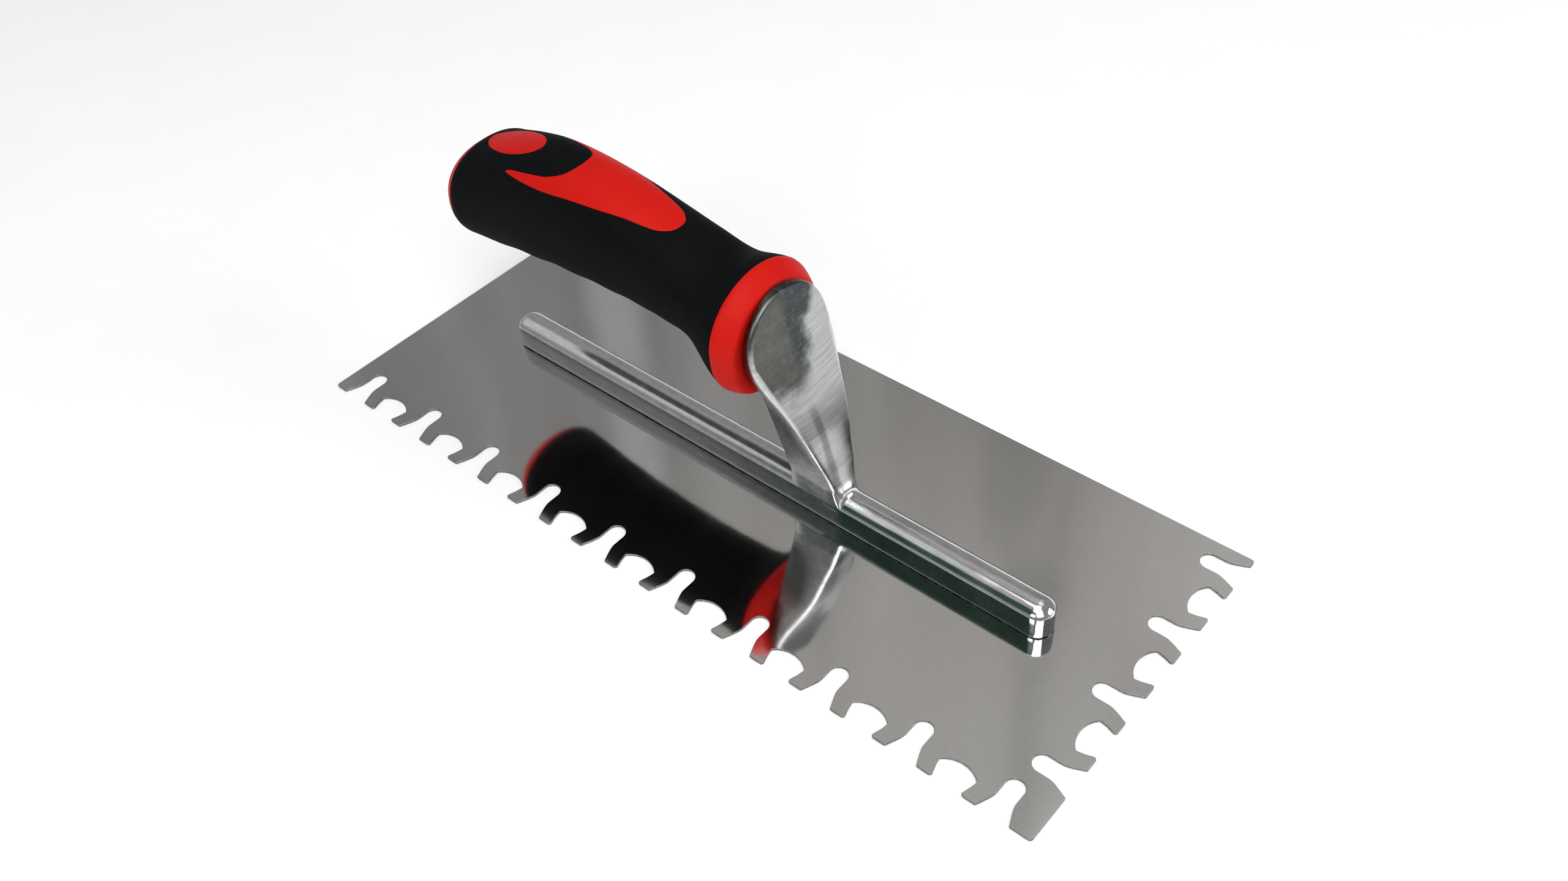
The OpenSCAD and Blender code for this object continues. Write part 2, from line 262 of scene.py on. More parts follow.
# ------------------------------------------------------------------ materials
def steel_blade():
    m = Mat("polished_blade_steel")
    stain = m.noise(11.0, 5.0, 0.6)
    cloud = m.noise(34.0, 4.0, 0.55)
    fine = m.noise(900.0, 3.0, 0.6)
    scratch = m.noise(1.0, 2.0, 0.5, vec=m.scale((60.0, 2600.0, 60.0), rot=(0, 0, 0.12)))
    col = m.mix(m.rng(stain, 0.35, 0.7, 0.0, 1.0), (0.665, 0.655, 0.642), (0.715, 0.706, 0.694))
    col = m.mix(m.rng(fine, 0.35, 0.75, 0.0, 0.16), col, (0.50, 0.49, 0.475))
    # one small dark speck near the rear, left by handling
    d = m.add("ShaderNodeVectorMath", operation="DISTANCE")
    m.link(m.co, d.inputs[0])
    d.inputs[1].default_value = (-0.0988, 0.0105, 0.0007)
    speck = m.rng(m.math("ADD", d.outputs["Value"], m.math("MULTIPLY", fine, 0.0006)), 0.0009, 0.0014, 1.0, 0.0)
    col = m.mix(m.math("MULTIPLY", speck, 0.7), col, (0.12, 0.11, 0.10))
    rough = m.math("ADD", m.rng(cloud, 0.3, 0.75, 0.045, 0.085), m.rng(scratch, 0.52, 0.78, 0.0, 0.035))
    n1 = m.bump(m.noise(42.0, 2.0, 0.4), 0.035, 0.0006)
    n2 = m.bump(fine, 0.06, 0.00002, n1)
    n3 = m.bump(scratch, 0.05, 0.00001, n2)
    return m.set(color=col, metal=1.0, rough=rough, normal=n3)


def steel_cut():
    m = Mat("cut_blade_edge")
    streak = m.noise(1.0, 3.0, 0.6, vec=m.scale((1500.0, 1500.0, 160.0)))
    col = m.mix(m.rng(streak, 0.3, 0.75, 0.0, 1.0), (0.11, 0.108, 0.105), (0.30, 0.295, 0.285))
    return m.set(color=col, metal=1.0, rough=m.rng(streak, 0.3, 0.7, 0.32, 0.5), normal=m.bump(streak, 0.4, 0.00004))


def aluminium():
    m = Mat("cast_aluminium_polished")
    x, y, z = m.xyz()
    grain = m.noise(1.0, 4.0, 0.65, vec=m.scale((130.0, 1900.0, 1900.0)))          # drawn along the bar
    brush = m.noise(1.0, 3.0, 0.6, vec=m.scale((300.0, 75.0, 2300.0)))             # across the shank
    band = m.noise(1.0, 2.0, 0.5, vec=m.scale((60.0, 420.0, 28.0)))                # soft upright bands on the shank
    cloud = m.noise(95.0, 5.0, 0.6)
    mott = m.noise(380.0, 5.0, 0.65)
    pits = m.voronoi(950.0)
    inv = lambda v: m.math("SUBTRACT", 1.0, v)
    mul = lambda a, b: m.math("MULTIPLY", a, b)
    rear = m.rng(x, 0.033, 0.039, 1.0, 0.0, True)            # the run behind the shank is duller
    shank = m.rng(z, 0.0122, 0.0165, 0.0, 1.0, True)
    side = m.rng(z, 0.0080, 0.0094, 1.0, 0.0, True)          # straight sides of the bar
    dull = m.mix(m.rng(mott, 0.32, 0.72, 0.0, 1.0), (0.58, 0.585, 0.595), (0.73, 0.73, 0.74))
    bright = m.mix(m.rng(cloud, 0.35, 0.72, 0.0, 1.0), (0.80, 0.80, 0.805), (0.92, 0.92, 0.925))
    bright = m.mix(m.rng(grain, 0.40, 0.56, 0.55, 0.0), bright, (0.50, 0.50, 0.505))
    # painted shade: the straight sides take a darker copy of the aluminium than the dome, darker still at the rear
    low = m.mix(m.rng(cloud, 0.35, 0.72, 0.0, 1.0), (0.40, 0.42, 0.415), (0.52, 0.535, 0.53))
    low = m.mix(rear, low, (0.34, 0.345, 0.345))
    # shank face: the upper part left of a slanting line is a painted dark reflection, the rest is burnished, with
    # painted dark reflection bands upright near the foot
    wob = mul(m.math("SUBTRACT", band, 0.5), 0.010)
    drift = mul(m.math("SUBTRACT", m.noise(130.0, 4.0, 0.55), 0.5), 0.014)
    ln = m.math("SUBTRACT", m.math("ADD", y, m.math("ADD", drift, mul(wob, 0.12))), m.math("ADD", mul(m.math("SUBTRACT", z, 0.050), 0.58), -0.001))
    painted_dark_reflection = mul(m.rng(ln, -0.0026, 0.0030, 1.0, 0.0, True), m.rng(m.math("ADD", z, drift), 0.0455, 0.0535, 0.0, 1.0, True))
    deeper_reflection_mask = m.rng(m.math("ADD", y, mul(drift, 0.5)), -0.0035, 0.0010, 0.0, 0.9, True)
    painted_reflection_tone = m.mix(deeper_reflection_mask, (0.100, 0.105, 0.098), (0.046, 0.056, 0.060))
    painted_reflection_tone = m.mix(m.rng(brush, 0.50, 0.78, 0.0, 0.55), painted_reflection_tone, (0.185, 0.181, 0.166))
    painted_reflection_tone = m.mix(m.rng(mott, 0.50, 0.75, 0.0, 0.5), painted_reflection_tone, (0.18, 0.176, 0.160))
    painted_reflection_tone = m.mix(m.rng(mott, 0.25, 0.42, 0.45, 0.0), painted_reflection_tone, (0.060, 0.064, 0.062))
    face = m.mix(m.rng(brush, 0.35, 0.72, 0.0, 1.0), (0.39, 0.395, 0.40), (0.55, 0.555, 0.56))
    # painted shade: the foot of the shank face is darkened
    painted_foot_shade = m.rng(z, 0.036, 0.047, 1.0, 0.0, True)
    face = m.mix(mul(painted_foot_shade, 0.92), face, m.mix(m.rng(brush, 0.35, 0.70, 0.0, 1.0), (0.118, 0.120, 0.118), (0.198, 0.200, 0.198)))
    # painted reflections: two dark upright stripes near the foot of the shank face
    near = lambda c, a, b: m.rng(m.math("ABSOLUTE", m.math("SUBTRACT", m.math("ADD", y, mul(wob, 0.35)), c)), a, b, 1.0, 0.0, True)
    painted_reflection_stripes = m.math("MAXIMUM", near(-0.0032, 0.0006, 0.0022), mul(near(0.0066, 0.0006, 0.0022), m.rng(z, 0.031, 0.037, 1.0, 0.0, True)))
    face = m.mix(mul(mul(painted_reflection_stripes, painted_foot_shade), m.rng(brush, 0.3, 0.7, 0.95, 0.65)), face, (0.068, 0.071, 0.068))
    face = m.mix(painted_dark_reflection, face, painted_reflection_tone)
    # painted highlight along the rolled rim
    ay = m.math("ABSOLUTE", y)
    up = m.math("SUBTRACT", z, 0.0617)
    rr = m.math("SQRT", m.math("ADD", mul(y, y), mul(up, up)))
    low_rim = mul(m.rng(m.math("SUBTRACT", ay, m.math("ADD", mul(z, 0.238), 0.0017)), -0.0013, -0.0003, 0.0, 1.0, True), m.rng(z, 0.060, 0.062, 1.0, 0.0))
    top_rim = mul(m.rng(rr, 0.0151, 0.0160, 0.0, 1.0, True), m.rng(z, 0.058, 0.062, 0.0, 1.0))
    rim = mul(m.math("MAXIMUM", low_rim, top_rim), m.rng(x, 0.0165, 0.0185, 0.0, 1.0))
    face = m.mix(mul(rim, m.rng(mott, 0.30, 0.60, 0.55, 1.0)), face, (0.70, 0.70, 0.705))
    col = m.mix(rear, bright, dull)
    col = m.mix(side, col, low)
    col = m.mix(shank, col, face)
    scr = m.noise(1.0, 2.0, 0.5, vec=m.scale((120.0, 3400.0, 3400.0), rot=(0.0, 0.0, 0.35)))
    col = m.mix(mul(m.rng(scr, 0.66, 0.72, 0.0, 0.45), inv(shank)), col, (0.93, 0.93, 0.94))
    r_rear = m.rng(mott, 0.3, 0.75, 0.11, 0.21)
    r_front = m.rng(cloud, 0.3, 0.75, 0.07, 0.14)
    r_face = m.math("ADD", m.rng(brush, 0.3, 0.75, 0.26, 0.36), m.rng(cloud, 0.4, 0.7, 0.0, 0.05))
    # painted contact shadow in the joint against the sheet
    joint_shadow = m.rng(m.math("ADD", z, mul(m.math("SUBTRACT", mott, 0.5), 0.0008)), 0.00095, 0.00135, 1.0, 0.0, True)
    col = m.mix(mul(joint_shadow, 0.92), col, (0.018, 0.019, 0.018))
    r_face = m.math("SUBTRACT", r_face, mul(painted_foot_shade, 0.04))
    r = m.math("ADD", mul(r_rear, rear), mul(r_front, inv(rear)))
    r = m.math("ADD", mul(r, inv(shank)), mul(r_face, shank))
    h = m.math("ADD", mul(brush, shank), mul(mul(mott, rear), 0.22))
    n1 = m.bump(h, 0.20, 0.00006)
    n2 = m.bump(grain, 0.14, 0.00003, n1)
    n3 = m.bump(m.rng(pits, 0.0, 0.25, 0.0, 1.0), 0.05, 0.00003, n2)
    n4 = m.bump(m.noise(60.0, 2.0, 0.4), 0.10, 0.0009, n3)
    return m.set(color=col, metal=m.math("SUBTRACT", 1.0, mul(mul(rear, inv(shank)), 0.10)), rough=r, normal=n4)


def soft_black():
    m = Mat("soft_grip_rubber")
    g1 = m.voronoi(2300.0)
    g2 = m.noise(2600.0, 3.0, 0.6)
    cloud = m.noise(55.0, 4.0, 0.6)
    col = m.mix(m.rng(cloud, 0.3, 0.7, 0.0, 1.0), (0.0014, 0.0016, 0.0019), (0.0030, 0.0034, 0.0038))
    col = m.mix(m.rng(g2, 0.35, 0.75, 0.0, 1.0), col, (0.0062, 0.0070, 0.0076))
    dust = m.rng(m.noise(520.0, 5.0, 0.7), 0.64, 0.74, 0.0, 0.08)
    col = m.mix(dust, col, (0.06, 0.06, 0.058))
    n1 = m.bump(g1, 0.30, 0.00010)
    n2 = m.bump(g2, 0.35, 0.00006, n1)
    return m.set(color=col, metal=0.0, rough=m.rng(g2, 0.3, 0.75, 0.56, 0.76), normal=n2, spec=0.035)


def hard_red(name="red_plastic_moulded"):
    m = Mat(name)
    g1 = m.voronoi(2100.0)
    g2 = m.noise(2300.0, 3.0, 0.6)
    cloud = m.noise(40.0, 4.0, 0.6)
    col = m.mix(m.rng(cloud, 0.3, 0.7, 0.0, 1.0), (0.500, 0.0058, 0.0032), (0.555, 0.0082, 0.0045))
    col = m.mix(m.rng(g2, 0.35, 0.75, 0.0, 0.35), col, (0.445, 0.0065, 0.004))
    dust = m.rng(m.noise(480.0, 5.0, 0.7), 0.66, 0.76, 0.0, 0.06)
    col = m.mix(dust, col, (0.70, 0.25, 0.20))
    n1 = m.bump(g1, 0.14, 0.00008)
    n2 = m.bump(g2, 0.14, 0.00005, n1)
    return m.set(color=col, metal=0.0, rough=m.rng(g2, 0.3, 0.75, 0.42, 0.58), normal=n2, spec=0.10)


def plated():
    m = Mat("zinc_plated_steel")
    cloud = m.noise(260.0, 4.0, 0.6)
    fine = m.noise(1800.0, 3.0, 0.6)
    col = m.mix(m.rng(cloud, 0.3, 0.7, 0.0, 1.0), (0.46, 0.46, 0.45), (0.60, 0.60, 0.60))
    return m.set(color=col, metal=1.0, rough=m.rng(fine, 0.3, 0.7, 0.22, 0.38), normal=m.bump(fine, 0.12, 0.00003))


M_STEEL, M_CUT, M_ALU, M_BLACK, M_RED, M_ZINC = steel_blade(), steel_cut(), aluminium(), soft_black(), hard_red(), plated()
M_CORE = hard_red("core_plastic_moulded")

for node, mat in (("blade_rivets", M_STEEL), ("handle_core", M_CORE), ("tang_screw", M_ZINC), ("tang_washer", M_ZINC)):
    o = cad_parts[node]
    o = o if hasattr(o, "data") else bpy.data.objects[o]
    for i in range(len(o.material_slots)):
        o.material_slots[i].material = mat

# ------------------------------------------------------------------ blade
SLOT_R, SLOT_M, SLOT_D, ARCH_R, ARCH_M, ARCH_D, TIP_R, ARCH_CR, NECK = 2.9, 4.8, 13.0, 5.95, 4.7, 8.05, 0.8, 8.4, 6.0


def spline2(v, m):
    """Smooth line through uneven 2D knots, m points per span."""
    v = [np.array(q, float) for q in v]
    out = []
    for i in range(len(v) - 1):
        p0, p1, p2, p3 = v[max(0, i - 1)], v[i], v[i + 1], v[min(len(v) - 1, i + 2)]
        for k in range(m):
            f = k / m
            out.append(tuple(p1 + 0.5 * f * (p2 - p0 + f * (2 * p0 - 5 * p1 + 4 * p2 - p3 + f * (3 * (p1 - p2) + p3 - p0)))))
    return out + [tuple(v[-1])]


def slot_half():
    p = [(SLOT_M + TIP_R * 0.75, 0), (SLOT_M + TIP_R * 0.30, TIP_R * 0.22), (SLOT_M, TIP_R)]
    p += [(SLOT_R + (SLOT_M - SLOT_R) * 0.42, NECK * 0.56), (SLOT_R + 0.12, NECK * 0.90), (SLOT_R, NECK * 1.12)]
    p = spline2(p, 3)
    p += [(SLOT_R * math.cos(a), SLOT_D - SLOT_R + SLOT_R * math.sin(a)) for a in [math.radians(d) for d in range(4, 88, 6)]]
    return p


aa = math.asin(ARCH_R / ARCH_CR)


def arch_half():
    zs = ARCH_D - ARCH_CR + ARCH_CR * math.cos(aa)
    p = spline2([(ARCH_M + 0.55, 0), (ARCH_M + 0.15, 0.3), (ARCH_M, 0.9), (ARCH_M + (ARCH_R - ARCH_M) * 0.55, 3.0), (ARCH_R - 0.12, zs - 0.5)], 3)
    p += [(ARCH_R - 0.08, zs - 0.15), (ARCH_R - 0.12, zs + 0.12), (ARCH_R - 0.30, zs + 0.32)]
    p += [(ARCH_CR * math.sin(a), ARCH_D - ARCH_CR + ARCH_CR * math.cos(a)) for a in [aa * 0.91 * (1 - k / 14) for k in range(0, 14)]]
    return p


def mirrored(h):
    return [(-a, b) for a, b in h] + [(a, b) for a, b in reversed(h)]


def edge_line(first, pitch, n):
    out = []
    for k in range(n):
        out += [(first + k * pitch + a, b) for a, b in mirrored(slot_half())]
        if k < n - 1:
            out += [(first + (k + 0.5) * pitch + a, b) for a, b in mirrored(arch_half())]
    return out


def corner(cx, cy, a0, r=1.0):
    return [(cx + r * math.cos(math.radians(a0 + 90 * k / 6)), cy + r * math.sin(math.radians(a0 + 90 * k / 6))) for k in range(7)]


outline = corner(-HL + 1, -HW + 1, 180) + [(a, -HW + b) for a, b in edge_line(-130.1, 28.72, 10)] + corner(HL - 1, -HW + 1, 270) \
    + [(HL - b, a) for a, b in edge_line(-36.85, 28.85, 4)] + corner(HL - 1, HW - 1, 0) + corner(-HL + 1, HW - 1, 90)
outline = [p for i, p in enumerate(outline) if math.dist(p, outline[i - 1]) > 0.03]


def inset(poly, d):
    p = np.array(poly)
    e = np.roll(p, -1, 0) - p
    e /= np.linalg.norm(e, axis=1)[:, None]
    nrm = np.stack([-e[:, 1], e[:, 0]], 1)          # inward, for a counter-clockwise outline
    n0 = np.roll(nrm, 1, 0)
    b = nrm + n0
    b /= np.maximum(0.6, (b * b).sum(1) / 2)[:, None]
    return p + b * d


def build_blade():
    edge = 0.09
    lo_r, hi_r = 3.2, 2.02
    rx = [float((k - 3) * 30) for k in range(7)]
    n = len(outline)
    o2, o1 = np.array(outline), inset(outline, edge)
    hole = [[(x + math.cos(-2 * math.pi * i / 32), math.sin(-2 * math.pi * i / 32)) for i in range(32)] for x in rx]
    V, F, I = [], [], []

    def add(pts, z):
        s = len(V)
        V.extend([(p[0], p[1], z) for p in pts])
        return s

    def circ(x, r):
        return [(x + r * math.cos(-2 * math.pi * i / 32), r * math.sin(-2 * math.pi * i / 32)) for i in range(32)]
    for z_face, z_edge, rad, flip in ((BT, BT - edge * 0.8, hi_r, False), (0.0, edge * 0.8, lo_r, True)):
        a = add(o1, z_face)
        hs = [add(circ(x, rad), z_face) for x in rx]
        polys = [[Vector((p[0], p[1], 0)) for p in o1]] + [[Vector((p[0], p[1], 0)) for p in circ(x, rad)] for x in rx]
        index = list(range(a, a + n)) + [h + i for h in hs for i in range(32)]
        for t in tessellate_polygon(polys):
            f = tuple(index[i] for i in t)
            F.append(f[::-1] if flip else f)
            I.append(0)
        b = add(o2, z_edge)
        for i in range(n):
            j = (i + 1) % n
            q = (a + i, b + i, b + j, a + j)
            F.append(q[::-1] if flip else q)
            I.append(1)
        if not flip:
            top_wall, top_h = b, hs
        else:
            bot_wall, bot_h = b, hs
    for i in range(n):
        j = (i + 1) % n
        F.append((top_wall + i, bot_wall + i, bot_wall + j, top_wall + j))
        I.append(1)
    for ht, hb in zip(top_h, bot_h):
        for i in range(32):
            j = (i + 1) % 32
            F.append((ht + i, hb + i, hb + j, ht + j))
            I.append(1)
    o = new_obj("blade_sheet", V, F, [M_STEEL, M_CUT], smooth=False)
    o.data.polygons.foreach_set("material_index", I[:len(o.data.polygons)])
    fix_normals(o)
    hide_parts("blade")
    return o


build_blade()

# ------------------------------------------------------------------ mounting casting
DR = (BAR_HW ** 2 + (TOP_Z - SIDE_Z) ** 2) / (2 * (TOP_Z - SIDE_Z))


def dome(y):
    y = np.minimum(np.abs(y), BAR_HW)
    return TOP_Z - DR + np.sqrt(DR * DR - y * y)


def bar_plan(d, dx):
    """Outline of the bar at inset d from the sides and dx from the rear end; tip at +X."""
    h = max(BAR_HW - d, 0.004)
    r = max(min(2.5 - dx * 0.5, h), 0.0) if h > 0.1 else 0.0
    pts = []
    cx = BAR_X1 - BAR_HW
    for k in range(33):
        a = math.radians(-90 + 180 * k / 32)
        pts.append((cx + h * math.cos(a), h * math.sin(a)))
    for k in range(1, 60):
        pts.append((cx + (BAR_X0 + 2.5 - cx) * k / 60, h))
    for k in range(9):
        a = math.radians(90 + 90 * k / 8)
        pts.append((BAR_X0 + dx + r + r * math.cos(a), h - r + r * math.sin(a)))
    for k in range(9):
        a = math.radians(180 + 90 * k / 8)
        pts.append((BAR_X0 + dx + r + r * math.cos(a), -(h - r) + r * math.sin(a)))
    for k in range(59, 0, -1):
        pts.append((cx + (BAR_X0 + 2.5 - cx) * k / 60, -h))
    return pts


def build_bar():
    rings = []
    # softened lower edge, so a fine dark joint shows against the sheet
    for d, z in ((0.38, BT), (0.36, BT + 0.06), (0.14, BT + 0.18), (0.03, BT + 0.34)):
        rings.append([(x, y, z) for x, y in bar_plan(d, d)])
    for z in (BT + 0.5, 3.0, 6.0, SIDE_Z - 0.35):
        rings.append([(x, y, z) for x, y in bar_plan(0, 0)])
    # small radius on the crease, then the dome
    for t in (0.25, 0.5, 0.75):
        d = 0.22 * t * t
        rings.append([(x, y, SIDE_Z - 0.35 + 0.35 * t) for x, y in bar_plan(d, d)])
    for d in (0.3, 0.5, 0.8, 1.2, 1.7, 2.2, 2.8, 3.4, 4.0, 4.5, 4.85, 4.996):
        dx = 1.5 * (1 - math.sqrt(max(0.0, 1 - (d / 5.0) ** 2))) + d * 0.14
        rings.append([(x, y, float(dome(BAR_HW - d))) for x, y in bar_plan(d, dx)])
    return loft([np.array(r) for r in rings])


ROWS = np.array([
    [14.7, 18.6, 36.4, 5.0, 5.2], [20.7, 17.5, 35.1, 5.6, 6.4], [25.7, 16.4, 33.6, 6.2, 7.6], [30.7, 15.4, 32.3, 6.8, 8.9],
    [35.7, 14.5, 30.9, 7.5, 10.1], [40.7, 13.8, 29.0, 8.4, 11.3], [45.7, 13.4, 26.7, 9.8, 12.7], [50.7, 13.4, 24.3, 12.2, 14.4],
    [55.7, 13.4, 22.0, 14.4, 15.8], [61.7, 13.4, 19.8, 15.4, 16.4]])
DISC_Z, DISC_R, BACK_X = 61.7, 16.4, 13.4
disc = []
for k in range(1, 9):
    a = math.radians(90 * k / 8.35)
    w = DISC_R * math.cos(a)
    u = math.sin(a)
    disc.append([DISC_Z + DISC_R * u, BACK_X, 19.8 - 4.3 * u + 0.9 * u * u, max(0.8, w * 0.94), w])
ROWS = np.vstack([ROWS, disc])


def cubic(xs, ys, x):
    """Monotone-safe cubic through uneven knots."""
    xs, ys = np.asarray(xs), np.asarray(ys)
    h = np.diff(xs)
    s = np.diff(ys) / h
    m = np.zeros(len(xs))
    m[1:-1] = (s[:-1] * h[1:] + s[1:] * h[:-1]) / (h[1:] + h[:-1])
    m[0], m[-1] = s[0], s[-1]
    i = np.clip(np.searchsorted(xs, x) - 1, 0, len(xs) - 2)
    t = (x - xs[i]) / h[i]
    return (ys[i] * (1 + 2 * t) * (1 - t) ** 2 + m[i] * h[i] * t * (1 - t) ** 2
            + ys[i + 1] * t * t * (3 - 2 * t) + m[i + 1] * h[i] * t * t * (t - 1))


def shank_section(z, xr, xf, wr, wf, rim=1.3, fillet=0.0):
    rc, rr, bulge = min(rim, wf * 0.35, (xf - xr) * 0.45), min(1.0, wr * 0.3, (xf - xr) * 0.25), 0.07 * wf
    p = []
    for k in range(7):
        a = math.radians(-90 + 78 * k / 6)
        p.append((xf - bulge - rc + rc * math.cos(a), -(wf - rc) + rc * math.sin(a)))
    for s in np.linspace(-1, 1, 27)[1:-1]:
        p.append((xf - bulge * s * s, s * (wf - rc)))
    for k in range(7):
        a = math.radians(12 + 78 * k / 6)
        p.append((xf - bulge - rc + rc * math.cos(a), (wf - rc) + rc * math.sin(a)))
    for k in range(1, 6):
        p.append((xf - bulge - rc + (xr + rr - (xf - bulge - rc)) * k / 6, wf + (wr - wf) * k / 6))
    for k in range(5):
        a = math.radians(90 + 90 * k / 4)
        p.append((xr + rr + rr * math.cos(a), wr - rr + rr * math.sin(a)))
    for k in range(5):
        a = math.radians(180 + 90 * k / 4)
        p.append((xr + rr + rr * math.cos(a), -(wr - rr) + rr * math.sin(a)))
    for k in range(5, 0, -1):
        p.append((xf - bulge - rc + (xr + rr - (xf - bulge - rc)) * k / 6, -(wf + (wr - wf) * k / 6)))
    return [(x, y, z) for x, y in p]


def build_shank():
    # the web's sides run flush down the bar
    rings = [shank_section(z, 18.65, 41.2, 4.9, 4.9, rim=1.3) for z in (2.0, 6.3)]
    # root: the front sweeps out over the domed bar in a small hollow fillet
    for z, xf, w in ((9.4, 41.2, 1.0), (10.3, 39.6, 1.0), (10.75, 38.75, 0.95), (11.2, 38.15, 0.85), (11.8, 37.6, 0.7),
                     (12.5, 37.2, 0.5), (13.2, 36.9, 0.32), (13.9, 36.65, 0.15)):
        ring = []
        for x, y, zz in shank_section(z, 18.65, xf, 5.03, 5.03 + 0.05 * max(0, z - 11), rim=1.3):
            ring.append((x, y, zz - (TOP_Z - float(dome(y))) * w * (1.0 if x > 30 else 0.0)))
        rings.append(ring)
    zz = np.unique(np.concatenate([np.linspace(14.7, 61.7, 70), ROWS[10:, 0], [DISC_Z + DISC_R * math.sin(math.radians(a)) for a in range(3, 84, 3)]]))
    for z in zz:
        r = [float(cubic(ROWS[:, 0], ROWS[:, i], z)) for i in range(1, 5)]
        if z > DISC_Z:
            w = math.sqrt(max(0.0, DISC_R ** 2 - (z - DISC_Z) ** 2))
            r[3], r[2] = w, max(0.8, w * 0.94)
        rings.append(shank_section(float(z), *r))
    top = float(zz[-1])
    # close the crown with a rolled edge
    x0, y0 = 0.5 * (BACK_X + float(ROWS[-1, 2])), 0.0
    last = np.array(rings[-1])
    for s, dz in ((0.94, 0.10), (0.82, 0.18), (0.62, 0.24), (0.35, 0.28)):
        r = last.copy()
        r[:, 0] = x0 + (last[:, 0] - x0) * s
        r[:, 1] = last[:, 1] * s
        r[:, 2] = top + dz
        rings.append(r)
    return loft([np.array(r) for r in rings])


def build_casting():
    v1, f1 = build_bar()
    v2, f2 = build_shank()
    n = len(v1)
    V = np.vstack([v1, v2])
    F = [tuple(f) for f in f1] + [tuple(i + n for i in f) for f in f2]
    # the stub that enters the grip, seen only from below through the collar's mouth
    t0 = len(V)
    tang = [(x, y, z) for x, hz in ((14.5, 7.6), (0.0, 7.0)) for y, z in ((-4.9, AXIS_Z - hz), (4.9, AXIS_Z - hz), (4.9, AXIS_Z + hz), (-4.9, AXIS_Z + hz))]
    V = np.vstack([V, np.array(tang)])
    F += [(t0, t0 + 3, t0 + 2, t0 + 1), (t0 + 4, t0 + 5, t0 + 6, t0 + 7)] + [(t0 + i, t0 + (i + 1) % 4, t0 + 4 + (i + 1) % 4, t0 + 4 + i) for i in range(4)]
    o = new_obj("casting_body", V, F, [M_ALU], smooth=True)
    fix_normals(o)
    smooth_all(o, 38)
    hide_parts("mount_casting")
    return o


build_casting()

# ------------------------------------------------------------------ grip
TOP = [80.4, 82.6, 86.4, 89.1, 89.9, 89.4, 87.9, 85.5, 82.4, 78.5, 81.4]
LOW = [50.2, 49.1, 49.3, 50.1, 50.9, 51.5, 52.1, 52.7, 53.5, 54.4, 44.6]
B = [19.3, 18.5, 17.6, 17.0, 16.3, 15.8, 15.4, 15.4, 15.8, 17.2, 20.6]
A = [(t - l) / 2 for t, l in zip(TOP, LOW)]
Z = [(t + l) / 2 for t, l in zip(TOP, LOW)]
BUTT_L, WAVE = 12.1, 0.7


def cat(v, u):
    s = min(max(u, 0.0), 1.0) * (len(v) - 1)
    i = min(len(v) - 2, int(s))
    f = s - i
    p = [v[min(max(i + k, 0), len(v) - 1)] for k in (-1, 0, 1, 2)]
    return p[1] + 0.5 * f * (p[2] - p[0] + f * (2 * p[0] - 5 * p[1] + 4 * p[2] - p[3] + f * (3 * (p[1] - p[2]) + p[3] - p[0])))


def crown_e(u):
    return 0.87 + 0.13 * max(0, min(1, (u - 0.6) / 0.4))


def keel_e(u):
    return 0.96 - 0.18 * max(0, min(1, (u - 0.75) / 0.25))


def ring(x, off=0.0, k=1.0, kb=None, dz=0.0, n=168, waves=True):
    kb = k if kb is None else kb
    u = (x - GRIP_X0) / (GRIP_X1 - GRIP_X0)
    w = min(1.0, max(0.0, (x - GRIP_X0) / BUTT_L))
    f = math.sqrt(max(0.0, 1 - (1 - w) ** 2))
    a, b, z = (cat(A, u) * f - off) * k, (cat(B, u) * f - off) * kb, cat(Z, u) + dz
    wv = WAVE * (1 - math.cos(2 * math.pi * (x + 107) / 16)) / 2 if (waves and -104 < x < -24) else 0.0
    out = []
    for i in range(n):
        t = 2 * math.pi * i / n
        c, s = math.cos(t), math.sin(t)
        # the exponent eases from crown to keel round the sides, so no crease shows there
        g = min(1.0, max(0.0, 0.5 + s / 0.5))
        e = keel_e(u) + (crown_e(u) - keel_e(u)) * (3 * g * g - 2 * g ** 3)
        pc, ps = math.copysign(abs(c) ** e, c), math.copysign(abs(s) ** e, s)
        out.append((x, b * pc, z + a * ps + (wv * s * s if s < 0 else 0.0)))
    return np.array(out)


LEAF_X = -21.0
LEAF_K = [(0, 0), (0.2, 1.6), (1.2, 3.5), (4, 5.6), (8.3, 6.9), (14.4, 8.1), (22.9, 9.9), (32.4, 11.2), (42, 12.3), (49, 12.6), (55, 12.5), (59.5, 12.0), (61, 11.5)]
BAY_K = [(61, 11.5), (59, 11.0), (53.6, 10.6), (48.2, 9.9), (45.2, 9.3), (42.7, 8.3), (40.5, 7.0), (39.3, 5.6), (38.6, 4.0), (38.2, 2.0), (38.1, 0)]
BAY_SHIFT = 0.6


def leaf_outline(g):
    side, bay = spline2(LEAF_K, 5), spline2(BAY_K, 5)
    pts = [(-x, -y) for x, y in side] + [(-x, min(-y, -BAY_SHIFT)) for x, y in bay[1:]]
    pts += [(-x, max(y - 2 * BAY_SHIFT * min(1, (61 - x) / 6), -BAY_SHIFT)) for x, y in reversed(bay[:-1])] + [(-x, y) for x, y in reversed(side[1:-1])]
    pts = [(x + LEAF_X, y) for x, y in pts]
    pts = [p for i, p in enumerate(pts) if math.dist(p, pts[i - 1]) > 0.05]
    a = sum(pts[i - 1][0] * pts[i][1] - pts[i][0] * pts[i - 1][1] for i in range(len(pts)))
    if a < 0:
        pts.reverse()
    return inset(pts, g)


